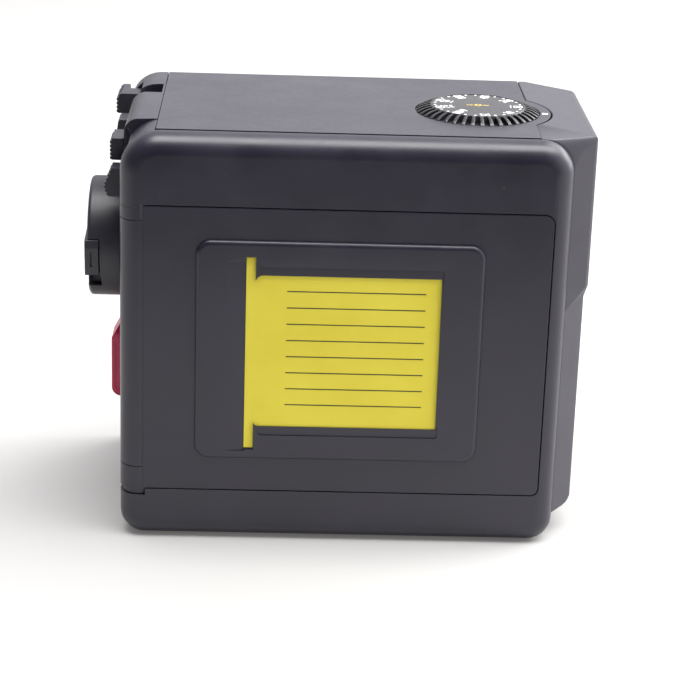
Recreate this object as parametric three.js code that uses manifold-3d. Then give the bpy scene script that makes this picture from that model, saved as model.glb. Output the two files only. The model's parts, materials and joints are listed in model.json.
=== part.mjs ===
// Interchangeable 35 mm film magazine for a medium-format camera.
// Working frame: x runs to the right seen from behind, y runs forward to the camera,
// z runs up. x = 0 is the film's centre line, y = 0 the rear face, z = 0 the base.
// The last lines shift everything so that the origin is under the middle of the object.
import * as THREE from 'three';
import { ConvexGeometry } from 'three/addons/geometries/ConvexGeometry.js';
import { mergeVertices } from 'three/addons/utils/BufferGeometryUtils.js';
import Module from 'manifold-3d';

const wasm = await Module();
wasm.setup();

// Overall body, mm
const LEFT = -45;
const RIGHT = 44;
const TOP = 85;
const FRONT = 55.5;
const WALL = 2;
const SEAM = 0.3;
const CORNER = { topLeft: 8, topRight: 6.6, low: 5, shoulder: 3.2 };
const SHOULDER_Y = 13.3;
const HAIRLINE = 0.02;

// Rear shell
const SHELL_DEPTH = 4.4;
const SHELL_FILLET = 4.2;
const BODY_REAR = 4.7;
const BODY_FRONT = 43.9;

// Back door and its hinge
const DOOR = { left: -39.9, right: 40.5, low: 11, high: 70.8, thick: 2.2, gap: 0.16 };
const PIN = { x: -41.2, y: 3.9, r: 1.0 };
const BARREL_R = 3.9;
const KNUCKLE = { low: 15.7, high: 67.7 };
const LEAF = { rear: 2.3, front: 3.8 };

// Memo holder on the door
const MEMO = { left: -29.9, right: 27.3, low: 18.2, high: 64.3, corner: 3, rear: -0.95, lip: 1.85 };
const CARD = { left: -19.9, right: 20.6, low: 20.6, high: 60.9, rear: -0.42, front: -0.14 };
const CARD_WINDOW = { left: -18.05, right: 18.8, low: 25.35, high: 57.3 };

// Film path, all spindles run along x
const CASSETTE = { y: 24.0, z: 57.4, well: 12.9 };
const SPOOL = { y: 19.5, z: 21.5, well: 11.8, hub: 5.5, rim: 7 };
const ROLLER = { y: 36.4, z: 70.2, r: 3.4, half: 18.6 };
const SPROCKET = { y: 33.95, z: 15.5, r: 6.05, teeth: 8 };
const FILM_Y = 40;
const GATE = { halfWidth: 12, low: 24.5, high: 60.5 };
const CHAMBER = { left: -25.2, right: 30.6, rear: 8.6, front: 38.2, low: 6.5, high: 72.5, end: 1.4 };

// Top cover
const COVER = { left: -38.15, rear: 5.4 };

// Right-hand housing and gear train
const HOUSING = {
  left: 37.5, lower: 48.65, upper: 49.2, low: 4.8, wall: 1.8, rear: 5.0, flare: 8.2, lowFlare: 9.4,
};
const MODULE = 0.6;
const GEAR_X = { from: 33.2, to: 35.8 };
const SPOOL_TEETH = 22;
const SPROCKET_TEETH = 20;
const SPOOL_IDLER_TEETH = 10;
const DRIVE_TEETH = 14;
const DRIVE = { y: 50.4, z: 18 };
const COUNTER = { y: 30, z: 64, r: 8 };

// Rewind knob
const KNOB = { y: 24, z: 57.4, r: 12.35, inner: -45.35, outer: -52.4, turn: THREE.MathUtils.degToRad(7) };
const CRANK = { outer: -52.85, inner: -50.0, pivotX: -51.5, pivotY: 7.4, tipY: -12.15, width: 7.8 };
const SHAFT_R = 2.0;

// Film-speed dial
const DIAL = { x: 26.5, y: 26.8, base: 12.56, top: 9.6, z: 84.75, height: 1.55, ridges: 40, lobe: 15 };

// Moving tabs on the left side, and the corner recess that the magazine release slides in
const TAB_FOOT = -45.12;
const FLANGE_LEFT = -46.2;
const RELEASE = {
  outer: -48.8, inner: -43.7, rear: 44.8, step: 50.0, front: 54.0, low: 78.1, high: 82.5, travel: 4,
};

// ---------------------------------------------------------------- solids

function toSolid(geometry) {
  const bare = geometry.clone();
  bare.deleteAttribute('normal');
  bare.deleteAttribute('uv');
  const merged = mergeVertices(bare, 1e-5);
  return new wasm.Manifold(new wasm.Mesh({
    numProp: 3,
    vertProperties: new Float32Array(merged.attributes.position.array),
    triVerts: new Uint32Array(merged.index.array),
  }));
}

function toGeometry(solid) {
  const mesh = solid.getMesh();
  const geometry = new THREE.BufferGeometry();
  geometry.setAttribute('position', new THREE.BufferAttribute(new Float32Array(mesh.vertProperties), 3));
  geometry.setIndex(new THREE.BufferAttribute(new Uint32Array(mesh.triVerts), 1));
  geometry.computeVertexNormals();
  return geometry;
}

function join(first, ...others) {
  return toGeometry(others.reduce((sum, other) => sum.add(toSolid(other)), toSolid(first)));
}

function cut(first, ...tools) {
  return toGeometry(tools.reduce((rest, tool) => rest.subtract(toSolid(tool)), toSolid(first)));
}

function common(first, second) {
  return toGeometry(toSolid(first).intersect(toSolid(second)));
}

function box(x0, x1, y0, y1, z0, z1) {
  const geometry = new THREE.BoxGeometry(x1 - x0, y1 - y0, z1 - z0);
  return geometry.translate((x0 + x1) / 2, (y0 + y1) / 2, (z0 + z1) / 2);
}

// Shapes drawn in (x, z) and pushed along y, or drawn in (y, z) and pushed along x.
function slabY(shape, y0, y1, curveSegments = 4) {
  const geometry = new THREE.ExtrudeGeometry(shape, { depth: y1 - y0, bevelEnabled: false, curveSegments });
  return geometry.rotateX(Math.PI / 2).translate(0, y1, 0);
}

const AXES_TO_X = new THREE.Matrix4().makeBasis(
  new THREE.Vector3(0, 1, 0),
  new THREE.Vector3(0, 0, 1),
  new THREE.Vector3(1, 0, 0),
);

function slabX(shape, x0, x1, curveSegments = 4) {
  const geometry = new THREE.ExtrudeGeometry(shape, { depth: x1 - x0, bevelEnabled: false, curveSegments });
  return geometry.applyMatrix4(AXES_TO_X).translate(x0, 0, 0);
}

function slabZ(shape, z0, z1, curveSegments = 4) {
  const geometry = new THREE.ExtrudeGeometry(shape, { depth: z1 - z0, bevelEnabled: false, curveSegments });
  return geometry.translate(0, 0, z0);
}

function rodX(radius, x0, x1, y, z, sides = 24) {
  const geometry = new THREE.CylinderGeometry(radius, radius, x1 - x0, sides);
  return geometry.rotateZ(Math.PI / 2).translate((x0 + x1) / 2, y, z);
}

function rodY(radius, y0, y1, x, z, sides = 24) {
  return new THREE.CylinderGeometry(radius, radius, y1 - y0, sides).translate(x, (y0 + y1) / 2, z);
}

function rodZ(radius, z0, z1, x, y, sides = 24) {
  const geometry = new THREE.CylinderGeometry(radius, radius, z1 - z0, sides);
  return geometry.rotateX(Math.PI / 2).translate(x, y, (z0 + z1) / 2);
}

// A turned piece on an axis along x. Each profile point is [distance along x, radius].
function turnedX(profile, y, z, sides = 32) {
  const points = profile.map(([x, radius]) => new THREE.Vector2(radius, x));
  return new THREE.LatheGeometry(points, sides).rotateZ(-Math.PI / 2).translate(0, y, z);
}

function polygon(points) {
  return new THREE.Shape(points.map(([u, v]) => new THREE.Vector2(u, v)));
}

function roundedRect(u0, u1, v0, v1, radii) {
  const { topLeft = 0, topRight = 0, lowRight = 0, lowLeft = 0 } = radii;
  const shape = new THREE.Shape();
  shape.moveTo(u0 + lowLeft, v0);
  shape.lineTo(u1 - lowRight, v0);
  if (lowRight) shape.absarc(u1 - lowRight, v0 + lowRight, lowRight, -Math.PI / 2, 0, false);
  shape.lineTo(u1, v1 - topRight);
  if (topRight) shape.absarc(u1 - topRight, v1 - topRight, topRight, 0, Math.PI / 2, false);
  shape.lineTo(u0 + topLeft, v1);
  if (topLeft) shape.absarc(u0 + topLeft, v1 - topLeft, topLeft, Math.PI / 2, Math.PI, false);
  shape.lineTo(u0, v0 + lowLeft);
  if (lowLeft) shape.absarc(u0 + lowLeft, v0 + lowLeft, lowLeft, Math.PI, Math.PI * 1.5, false);
  return shape;
}

function evenRadii(radius) {
  return { topLeft: radius, topRight: radius, lowRight: radius, lowLeft: radius };
}

// A slab whose rear edge is rounded or bevelled: rear face at yRear, front cut flat at yFront.
function softSlabY(shape, yRear, yFront, size, depth, steps) {
  const straight = yFront - yRear;
  const geometry = new THREE.ExtrudeGeometry(shape, {
    depth: straight,
    bevelEnabled: true,
    bevelSize: size,
    bevelOffset: -size,
    bevelThickness: depth,
    bevelSegments: steps,
    curveSegments: 5,
  });
  geometry.rotateX(Math.PI / 2).translate(0, yRear + straight + depth, 0);
  return cut(geometry, box(-200, 200, yFront, yFront + 200, -200, 300));
}

const materials = {
  body: new THREE.MeshStandardMaterial({ color: 0x2b2b31, roughness: 0.5, metalness: 0.0 }),
  inner: new THREE.MeshStandardMaterial({ color: 0x17171a, roughness: 0.8, metalness: 0.0 }),
  lever: new THREE.MeshStandardMaterial({ color: 0x1f1e24, roughness: 0.55, metalness: 0.0 }),
  red: new THREE.MeshStandardMaterial({ color: 0xa81c3c, roughness: 0.4, metalness: 0.0 }),
  card: new THREE.MeshStandardMaterial({ color: 0xe1cd3c, roughness: 0.8, metalness: 0.0 }),
  steel: new THREE.MeshStandardMaterial({ color: 0xb4b4b8, roughness: 0.35, metalness: 1.0 }),
  alloy: new THREE.MeshStandardMaterial({ color: 0x8c8c90, roughness: 0.45, metalness: 1.0 }),
  brass: new THREE.MeshStandardMaterial({ color: 0xb8954a, roughness: 0.35, metalness: 1.0 }),
  gear: new THREE.MeshStandardMaterial({ color: 0xd8d6cc, roughness: 0.5, metalness: 0.0 }),
  foam: new THREE.MeshStandardMaterial({ color: 0x101010, roughness: 1.0, metalness: 0.0 }),
  glass: new THREE.MeshStandardMaterial({ color: 0xc8d2d6, roughness: 0.1, metalness: 0.0 }),
  board: new THREE.MeshStandardMaterial({ color: 0x3a5a34, roughness: 0.6, metalness: 0.0 }),
};

function addPiece(group, name, geometry, material) {
  const mesh = new THREE.Mesh(geometry, material);
  mesh.name = name;
  group.add(mesh);
  return mesh;
}

// ---------------------------------------------------------------- casing

// Clearance round the hinge barrel in everything that doesn't turn with the door.
function barrelSpace(radius, z0 = KNUCKLE.low - 6.6, z1 = KNUCKLE.high + 2.6) {
  return rodZ(radius, z0, z1, PIN.x, PIN.y, 32);
}

function pinHole() {
  return rodZ(PIN.r + 0.06, 0, TOP, PIN.x, PIN.y, 20);
}

function rearShell() {
  const outline = roundedRect(LEFT - 0.1, RIGHT + 0.1, 0, TOP, {
    topLeft: CORNER.topLeft, topRight: CORNER.topRight, lowRight: CORNER.low, lowLeft: CORNER.low,
  });
  const pillow = softSlabY(outline, 0, SHELL_DEPTH, SHELL_FILLET, SHELL_FILLET, 7);
  const rim = 2.4;
  const hollow = slabY(
    roundedRect(LEFT + rim, RIGHT - rim, rim, TOP - rim, evenRadii(3)),
    DOOR.thick,
    SHELL_DEPTH + 1,
  );
  const { gap } = DOOR;
  const opening = roundedRect(DOOR.left - gap, DOOR.right + gap, DOOR.low - gap, DOOR.high + gap, {
    topRight: 2.2, lowRight: 1.7,
  });
  const doorway = slabY(opening, -1, SHELL_DEPTH + 1);
  const hingeNotch = box(LEFT - 2, DOOR.left, -1, SHELL_DEPTH + 1, DOOR.low - 1.5, KNUCKLE.high + 0.05);
  const frame = cut(pillow, hollow, doorway, hingeNotch);
  const upper = rodZ(BARREL_R, KNUCKLE.high + 0.05, KNUCKLE.high + 2.6, PIN.x, PIN.y, 32);
  const lower = rodZ(BARREL_R, DOOR.low - 0.3, KNUCKLE.low - 0.05, PIN.x, PIN.y, 32);
  const neck = rodZ(BARREL_R - 0.5, DOOR.low - 1.6, DOOR.low, PIN.x, PIN.y, 32);
  const upperGusset = box(-42.4, -38.2, 1.9, 6.8, KNUCKLE.high + 1, 75);
  const lowerGusset = box(-42.4, -38.2, 1.9, 6.8, 6.5, DOOR.low + 1);
  const knuckles = join(frame, upper, lower, neck, upperGusset, lowerGusset);
  const pinBore = rodZ(PIN.r + 0.06, DOOR.low + 0.5, KNUCKLE.high + 2.0, PIN.x, PIN.y, 20);
  const panelSide = box(PIN.x, -30, -1, SHELL_DEPTH + 1, DOOR.low - gap, DOOR.high + gap);
  const panelCut = cut(panelSide, barrelSpace(BARREL_R, 0, TOP));
  return cut(knuckles, pinBore, panelCut);
}

function casingOutline(topLeft) {
  return roundedRect(LEFT, RIGHT, 0, TOP, {
    topLeft, topRight: CORNER.topRight, lowRight: CORNER.low, lowLeft: CORNER.low,
  });
}

// The top left corner follows the rear shell's round corner at first, then steps out to a tighter one.
function casingRing(y0, y1) {
  const outer = join(
    slabY(casingOutline(CORNER.topLeft), y0, SHOULDER_Y + 0.1),
    slabY(casingOutline(CORNER.shoulder), SHOULDER_Y, y1),
  );
  const inner = slabY(roundedRect(LEFT + WALL, RIGHT - WALL, WALL, TOP - WALL, {
    topLeft: CORNER.topLeft - WALL, lowRight: CORNER.low - WALL, lowLeft: CORNER.low - WALL,
  }), y0 - 1, y1 + 1);
  return cut(outer, inner);
}

function bodyCasing() {
  const ring = casingRing(BODY_REAR, BODY_FRONT);
  const cornerBlock = common(
    slabY(casingOutline(CORNER.shoulder), 28, BODY_FRONT),
    box(LEFT, -38.6, 29, BODY_FRONT, 77.2, TOP),
  );
  const open = [
    box(COVER.left - 0.12, RIGHT + 1, BODY_REAR - 1, BODY_FRONT + 1, TOP - WALL - 0.15, TOP + 1),
    box(HOUSING.left - SEAM, RIGHT + 1, BODY_REAR - 1, BODY_FRONT + 1, HOUSING.low - SEAM, TOP + 1),
    barrelSpace(BARREL_R + 0.3),
    box(LEFT - 1, -38.75, 36.4, BODY_FRONT + 1, 79, TOP + 1),
    rodY(2.6, 6.4, 13.8, LEFT - 1.2, 81.2, 20),
    rodX(4.6, LEFT - 1, LEFT + WALL + 1, CASSETTE.y, CASSETTE.z),
    box(LEFT - 1, LEFT + WALL + 1, 9.7, 12.8, 68.4, 76.4),
    box(LEFT - 1, LEFT + WALL + 3, 16.0, 19.0, 76.6, 81.8),
    box(LEFT - 1, LEFT + WALL + 1, 21.7, 25.3, 26.6, 35.0),
  ];
  return cut(join(ring, cornerBlock), ...open);
}

function dialSeat() {
  return join(
    rodZ(DIAL.base + 0.3, TOP - 0.45, TOP + 1, DIAL.x, DIAL.y, 56),
    rodZ(2.4, TOP - 5, TOP, DIAL.x, DIAL.y, 24),
  );
}

function topCover() {
  const rearEdge = HOUSING.left - HAIRLINE;
  const edge = HOUSING.left - 0.18;
  const shape = new THREE.Shape();
  shape.moveTo(COVER.left, COVER.rear);
  shape.lineTo(rearEdge, COVER.rear);
  const from = -Math.acos((rearEdge - DIAL.x) / DIAL.lobe);
  const to = Math.acos((edge - DIAL.x) / DIAL.lobe);
  shape.absarc(DIAL.x, DIAL.y, DIAL.lobe, from, to, false);
  shape.lineTo(edge, FRONT);
  shape.lineTo(COVER.left, FRONT);
  return cut(slabZ(shape, TOP - WALL, TOP, 12), dialSeat());
}

// The housing seen from above, as [x, y] points. Its rear right corner is cut off in a soft curve.
function housingPlan(right, flare) {
  return [
    [HOUSING.left, HOUSING.rear],
    [RIGHT + 0.2, HOUSING.rear],
    [right - 0.7, flare - 0.35],
    [right - 0.15, flare + 0.35],
    [right, flare + 1.5],
    [right, 46.8],
    [39.0, FRONT],
    [HOUSING.left, FRONT],
  ];
}

// The lower part of the housing is narrower. The upper part leans out over it from a shoulder
// that rises towards the outside.
function housingBlock() {
  const lowPlan = housingPlan(HOUSING.lower, HOUSING.lowFlare);
  const insidePlan = housingPlan(HOUSING.lower - 0.15, HOUSING.lowFlare + 0.1);
  const highPlan = housingPlan(HOUSING.upper, HOUSING.flare);
  const shoulderFoot = (x) => 50.8 + 0.37 * (x - HOUSING.lower);
  const shoulderHead = (x) => 54.0 + 0.5 * (x - HOUSING.upper);
  const layer = (plan, heightAt) => plan.map(([x, y]) => new THREE.Vector3(x, y, heightAt(x)));
  const block = (...layers) => new ConvexGeometry(layers.flat());
  return join(
    block(layer(lowPlan, () => 0), layer(lowPlan, (x) => shoulderFoot(x) + 1)),
    block(layer(insidePlan, shoulderFoot), layer(highPlan, shoulderHead), layer(highPlan, () => TOP)),
  );
}

// The rear end of the housing narrows to the rear shell's round corner.
function housingTaper() {
  const end = (right, topRight, y) => roundedRect(30, right, 0, TOP, { topRight })
    .getPoints(5)
    .map((p) => new THREE.Vector3(p.x, y, p.y));
  return new ConvexGeometry([
    ...end(RIGHT + 0.2, CORNER.topRight, HOUSING.rear),
    ...end(46.9, 3.4, 6.6),
    ...end(HOUSING.upper + 0.8, 1.6, HOUSING.flare + 0.5),
    ...end(HOUSING.upper + 0.8, 1.6, FRONT + 1),
  ]);
}

function rightHousing() {
  const topRound = 1.2;
  const side = new THREE.Shape();
  side.moveTo(30, HOUSING.low);
  side.lineTo(43.6, HOUSING.low);
  side.lineTo(47.0, HOUSING.low + 0.7);
  side.quadraticCurveTo(48.5, HOUSING.low + 1.1, HOUSING.lower + 0.02, HOUSING.low + 3.2);
  side.lineTo(HOUSING.upper, 20);
  side.lineTo(HOUSING.upper, TOP - topRound);
  side.absarc(HOUSING.upper - topRound, TOP - topRound, topRound, 0, Math.PI / 2, false);
  side.lineTo(30, TOP);
  const outer = common(common(housingBlock(), slabY(side, 0, 60)), housingTaper());
  const hollow = slabZ(polygon([
    [HOUSING.left - 2, HOUSING.rear + HOUSING.wall],
    [43.5, HOUSING.rear + HOUSING.wall],
    [46.9, HOUSING.lowFlare + 0.9],
    [46.9, 46.1],
    [38.3, FRONT - HOUSING.wall],
    [HOUSING.left - 2, FRONT - HOUSING.wall],
  ]), HOUSING.low + WALL, TOP - WALL - 1.8);
  const lobe = rodZ(DIAL.lobe + SEAM, TOP - 3, TOP + 1, DIAL.x, DIAL.y, 56);
  const port = box(46, 50, COUNTER.y + 3.2, COUNTER.y + 8.2, COUNTER.z - 2.5, COUNTER.z + 2.5);
  return cut(outer, hollow, lobe, port);
}

function screwSpots() {
  return [[-40.8, 6.2], [33.4, 5.2], [-33.5, 77.6], [32.6, 77.6]];
}

function frontFrame() {
  const y0 = BODY_FRONT + SEAM;
  const blank = slabY(roundedRect(FLANGE_LEFT, RIGHT, 0, TOP, {
    topLeft: 6.5, lowRight: CORNER.low, lowLeft: CORNER.low,
  }), y0, FRONT);
  const footCorner = slabZ(polygon([
    [60, 30], [60, 60], [38.6, 60], [38.6, FRONT + 0.35], [HOUSING.upper, 46.8],
  ]), -1, 6);
  const slotLow = RELEASE.low - RELEASE.travel - 0.5;
  const steps = [
    box(-14, 14, y0 - 1, 47, 22.5, 62.5),
    box(-17, 17, 46.9, 50, 19.5, 65.5),
    box(-20, 20, 49.9, FRONT + 1, 15.5, 69.5),
  ];
  const grooveOuter = box(-23.5, 23.5, FRONT - 0.9, FRONT + 1, 12, 71);
  const grooveInner = box(-22, 22, FRONT - 2, FRONT + 2, 13.5, 70.5);
  const screwHoles = screwSpots().flatMap(([x, z]) => [
    rodY(2.25, FRONT - 1.5, FRONT + 1, x, z),
    rodY(1.15, FRONT - 6.4, FRONT - 1, x, z, 16),
  ]);
  return cut(
    blank,
    box(HOUSING.left - SEAM, RIGHT + 1, 40, 60, HOUSING.low - 0.2, TOP + 1),
    box(COVER.left - 0.12, RIGHT + 1, 40, 60, TOP - WALL - 0.15, TOP + 1),
    footCorner,
    ...steps,
    cut(grooveOuter, grooveInner),
    box(FLANGE_LEFT - 1, 18, y0 - 1, 45.4, 22, 63),
    box(-43, 29.5, y0 - 1, 49.4, WALL, 18.5),
    box(-36, 35, y0 - 1, 48.8, 66.5, 80.6),
    box(30.7, 38, y0 - 1, FRONT + 1, 10, 26.5),
    box(-43, -38.6, 47.9, FRONT + 1, 59.6, 81.4),
    box(FLANGE_LEFT - 1, RELEASE.inner + 0.35, y0 - 1, RELEASE.step + 0.3, slotLow, TOP + 1),
    box(RELEASE.inner, -42.9, 47.9, RELEASE.step + 0.2, slotLow, RELEASE.low + 1.6),
    box(-11.2, 11.2, 52.1, FRONT + 1, 72.6, 79.2),
    ...screwHoles,
  );
}

function frontScrew(x, z) {
  const head = rodY(2.0, FRONT - 1.4, FRONT - 0.25, x, z, 24);
  const shank = rodY(1.0, FRONT - 6.2, FRONT - 1.3, x, z, 12);
  const screw = join(head, shank);
  const slotWidth = 0.28;
  return cut(
    screw,
    box(x - 1.3, x + 1.3, FRONT - 0.75, FRONT + 1, z - slotWidth, z + slotWidth),
    box(x - slotWidth, x + slotWidth, FRONT - 0.75, FRONT + 1, z - 1.3, z + 1.3),
  );
}

function backPlate() {
  const y0 = 4.9;
  const y1 = 8.4;
  const plate = box(-36.9, HOUSING.left - SEAM, y0, y1, 2.4, 82.5);
  const mouth = slabY(roundedRect(CHAMBER.left, 28.6, 14.6, 67.4, evenRadii(1.5)), y0 - 1, y1 + 1);
  const grooves = [
    box(-34.6, HOUSING.left - 0.8, y0 - 1, 7.6, 68.2, 70.2),
    box(-34.6, HOUSING.left - 0.8, y0 - 1, 7.6, 11.8, 13.8),
  ];
  const latchSlot = box(30.6, 36.2, y0 - 1, y1 + 1, 59, 70.2);
  const gussetSpace = [
    box(-40, -37.9, y0 - 1, 7.2, 66, 76),
    box(-40, -37.9, y0 - 1, 7.2, 5, 16),
  ];
  return cut(plate, mouth, ...grooves, latchSlot, ...gussetSpace);
}

function doorSeal(z) {
  return box(-34.3, 30.2, 6.55, 7.5, z + 0.1, z + 1.9);
}

// ---------------------------------------------------------------- door

function doorPanel() {
  const shape = roundedRect(DOOR.left - 0.6, DOOR.right, DOOR.low, DOOR.high, { topRight: 2, lowRight: 1.5 });
  const slab = softSlabY(shape, 0, DOOR.thick, 0.25, 0.25, 2);
  return cut(slab, barrelSpace(BARREL_R + 0.1, 0, TOP));
}

function doorLeaf() {
  const z0 = DOOR.low + 1;
  const z1 = DOOR.high - 0.9;
  const plate = cut(
    box(-39, 39.3, LEAF.rear, LEAF.front, z0, z1),
    barrelSpace(BARREL_R + 0.2, z0 - 1, KNUCKLE.low + 0.05),
    barrelSpace(BARREL_R + 0.2, KNUCKLE.high - 0.05, z1 + 1),
  );
  const barrel = rodZ(BARREL_R, KNUCKLE.low + 0.05, KNUCKLE.high - 0.05, PIN.x, PIN.y, 32);
  const ribs = [
    box(-34, 30, LEAF.front - 0.1, 6.3, 68.6, 69.8),
    box(-34, 36, LEAF.front - 0.1, 6.3, 12.2, 13.4),
  ];
  const catchStem = box(31.5, 35.2, LEAF.front - 0.1, 9.2, 68.0, 69.2);
  const catchLip = box(31.5, 35.2, 8.0, 9.2, 65.6, 68.1);
  return cut(join(plate, barrel, ...ribs, catchStem, catchLip), pinHole());
}

function memoPlate() {
  const shape = roundedRect(MEMO.left, MEMO.right, MEMO.low, MEMO.high, evenRadii(MEMO.corner));
  const plate = softSlabY(shape, MEMO.rear, -0.02, 1.0, 0.75, 3);
  const pocket = box(CARD.left - 0.1, CARD.right + 0.3, -0.5, 1, CARD.low - 0.2, CARD.high + 0.2);
  const window = slabY(
    roundedRect(CARD_WINDOW.left, CARD_WINDOW.right, CARD_WINDOW.low, CARD_WINDOW.high, {
      topLeft: 1.4, lowLeft: 1.0,
    }),
    -3,
    1,
  );
  const cardEnd = box(CARD.left - 0.1, CARD_WINDOW.left, -3, 1, CARD.low - 0.2, CARD.high + 0.2);
  const scoopLeft = -23.7;
  const thumbRamp = slabZ(polygon([
    [scoopLeft, MEMO.rear + 0.03], [CARD.left, CARD.rear - 0.08], [CARD.left, -3], [scoopLeft, -3],
  ]), 20.1, 60.1);
  const lip = (low, high) => slabY(
    roundedRect(CARD_WINDOW.left + 0.9, CARD_WINDOW.right + 0.4, low, high, evenRadii(0.6)),
    -3,
    MEMO.rear + 0.28,
  );
  const lips = [
    lip(CARD_WINDOW.high - 1, CARD_WINDOW.high + MEMO.lip),
    lip(CARD_WINDOW.low - MEMO.lip, CARD_WINDOW.low + 1),
  ];
  return cut(plate, pocket, window, cardEnd, thumbRamp, ...lips);
}

// A thin bowed strip, drawn in (y, z) and pushed along x.
function bowedStrip(y0, rise, z0, z1, thick, x0, x1) {
  const steps = 10;
  const bow = (t) => y0 + rise * Math.sin(Math.PI * t);
  const outer = [];
  const inner = [];
  for (let i = 0; i <= steps; i += 1) {
    const t = i / steps;
    const z = z0 + (z1 - z0) * t;
    outer.push([bow(t), z]);
    inner.unshift([bow(t) + thick, z]);
  }
  return slabX(polygon([...outer, ...inner]), x0, x1);
}

// ---------------------------------------------------------------- film chamber

function filmChamber() {
  const c = CHAMBER;
  const block = box(c.left, c.right, c.rear, c.front, c.low, c.high);
  const feet = [[-18, 14], [20, 14], [-18, 32], [20, 32]]
    .map(([x, y]) => box(x - 3, x + 3, y - 3, y + 3, WALL + 0.05, c.low + 1));
  const x0 = c.left + c.end;
  const x1 = c.right - c.end;
  const wells = [
    rodX(CASSETTE.well, x0, x1, CASSETTE.y, CASSETTE.z, 40),
    box(x0, x1, c.rear - 1, CASSETTE.y, CASSETTE.z - CASSETTE.well, CASSETTE.z + CASSETTE.well),
    rodX(SPOOL.well, x0, x1, SPOOL.y, SPOOL.z, 40),
    box(x0, x1, c.rear - 1, SPOOL.y, SPOOL.z - 7, SPOOL.z + SPOOL.well),
    box(x0, x1, c.rear - 1, 17, SPOOL.z + 5, CASSETTE.z),
  ];
  const rollerSpace = rodX(ROLLER.r + 0.8, -ROLLER.half - 0.6, ROLLER.half + 0.6, ROLLER.y, ROLLER.z, 32);
  const filmSlot = box(-18, 18, 28, ROLLER.y, ROLLER.z - 3.4, ROLLER.z - 0.6);
  const sprocketSpace = rodX(SPROCKET.r + 1.95, -20.5, 20.5, SPROCKET.y, SPROCKET.z, 32);
  const springSeat = box(-10.5, 10.5, 36.5, c.front + 1, 28.8, 43.2);
  const bearings = [
    rodX(3.2, c.left - 1, x0 + 1, CASSETTE.y, CASSETTE.z),
    rodX(1.72, c.left - 1, c.right + 1, SPOOL.y, SPOOL.z, 20),
    rodX(1.72, c.left - 1, c.right + 1, SPROCKET.y, SPROCKET.z, 20),
    rodX(1.3, -21.6, 21.6, ROLLER.y, ROLLER.z, 20),
  ];
  return cut(join(block, ...feet), ...wells, rollerSpace, filmSlot, sprocketSpace, springSeat, ...bearings);
}

function gatePlate() {
  const rear = FILM_Y + 0.6;
  const plate = box(-24, 24, rear, BODY_FRONT, 8, 74);
  const low = GATE.low - 3;
  const high = GATE.high + 3;
  const sides = [-1, 1].flatMap((side) => {
    const rail = (middle, width, y) => box(
      side * middle - width / 2, side * middle + width / 2, y, rear + 0.5, low, high,
    );
    return [
      rail(14.8, 3.8, FILM_Y + 0.15),
      rail(18.35, 1.3, FILM_Y - 0.15),
      rail(21.7, 4.2, CHAMBER.front + 0.1),
    ];
  });
  const window = box(-GATE.halfWidth, GATE.halfWidth, 30, 60, GATE.low, GATE.high);
  const toothSpace = [-14.1, 14.1].map((x) => box(x - 1.6, x + 1.6, rear - 1, rear + 1.6, 11, 20));
  return cut(join(plate, ...sides), window, ...toothSpace);
}

function pressurePlate() {
  return box(-17.3, 17.3, 38.75, 39.75, 24.2, 65.2);
}

function topRoller() {
  const h = ROLLER.half;
  return turnedX([
    [-21.3, 0], [-21.3, 1.2], [-h, 1.2], [-h, ROLLER.r], [-13, ROLLER.r], [-12.6, ROLLER.r - 0.5],
    [12.6, ROLLER.r - 0.5], [13, ROLLER.r], [h, ROLLER.r], [h, 1.2], [21.3, 1.2], [21.3, 0],
  ], ROLLER.y, ROLLER.z, 20);
}

function sprocketRoller() {
  const r = SPROCKET.r;
  const drum = turnedX([
    [-18.2, 1.66], [-18.2, r], [-12.6, r], [-12.2, 4.6], [12.2, 4.6], [12.6, r], [18.2, r], [18.2, 1.66],
    [-18.2, 1.66],
  ], SPROCKET.y, SPROCKET.z, 32);
  const teeth = [];
  for (const x of [-14.1, 14.1]) {
    for (let i = 0; i < SPROCKET.teeth; i += 1) {
      const tooth = new THREE.CylinderGeometry(0.55, 1.15, 1.7, 4, 1).rotateY(Math.PI / 4);
      tooth.translate(0, r + 0.55, 0).rotateX((i * 2 * Math.PI) / SPROCKET.teeth);
      teeth.push(tooth.translate(x, SPROCKET.y, SPROCKET.z));
    }
  }
  return join(drum, ...teeth);
}

function takeUpSpool() {
  const hub = turnedX([
    [-20.6, 1.66], [-20.6, SPOOL.rim], [-18.6, SPOOL.rim], [-18.4, SPOOL.hub], [18.4, SPOOL.hub],
    [18.6, SPOOL.rim], [20.6, SPOOL.rim], [20.6, 1.66], [-20.6, 1.66],
  ], SPOOL.y, SPOOL.z, 32);
  const slots = [];
  for (let i = 0; i < 3; i += 1) {
    const slot = box(-15, 15, -0.6, 0.6, 3.4, 8).rotateX((i * 2 * Math.PI) / 3);
    slots.push(slot.translate(0, SPOOL.y, SPOOL.z));
  }
  return cut(hub, ...slots);
}

function filmShaft(place) {
  return rodX(1.6, -24.9, GEAR_X.to + 0.6, place.y, place.z, 20);
}

// ---------------------------------------------------------------- gears

function pitchRadius(teeth) {
  return (MODULE * teeth) / 2;
}

// The point at distance ra from a and rb from b, on the upper side of the line from a to b.
function upperMeeting(a, b, ra, rb) {
  const dy = b.y - a.y;
  const dz = b.z - a.z;
  const span = Math.hypot(dy, dz);
  const along = (ra * ra - rb * rb + span * span) / (2 * span);
  const off = Math.sqrt(ra * ra - along * along) * Math.sign(dy);
  return { y: a.y + (dy * along - dz * off) / span, z: a.z + (dz * along + dy * off) / span };
}

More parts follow.
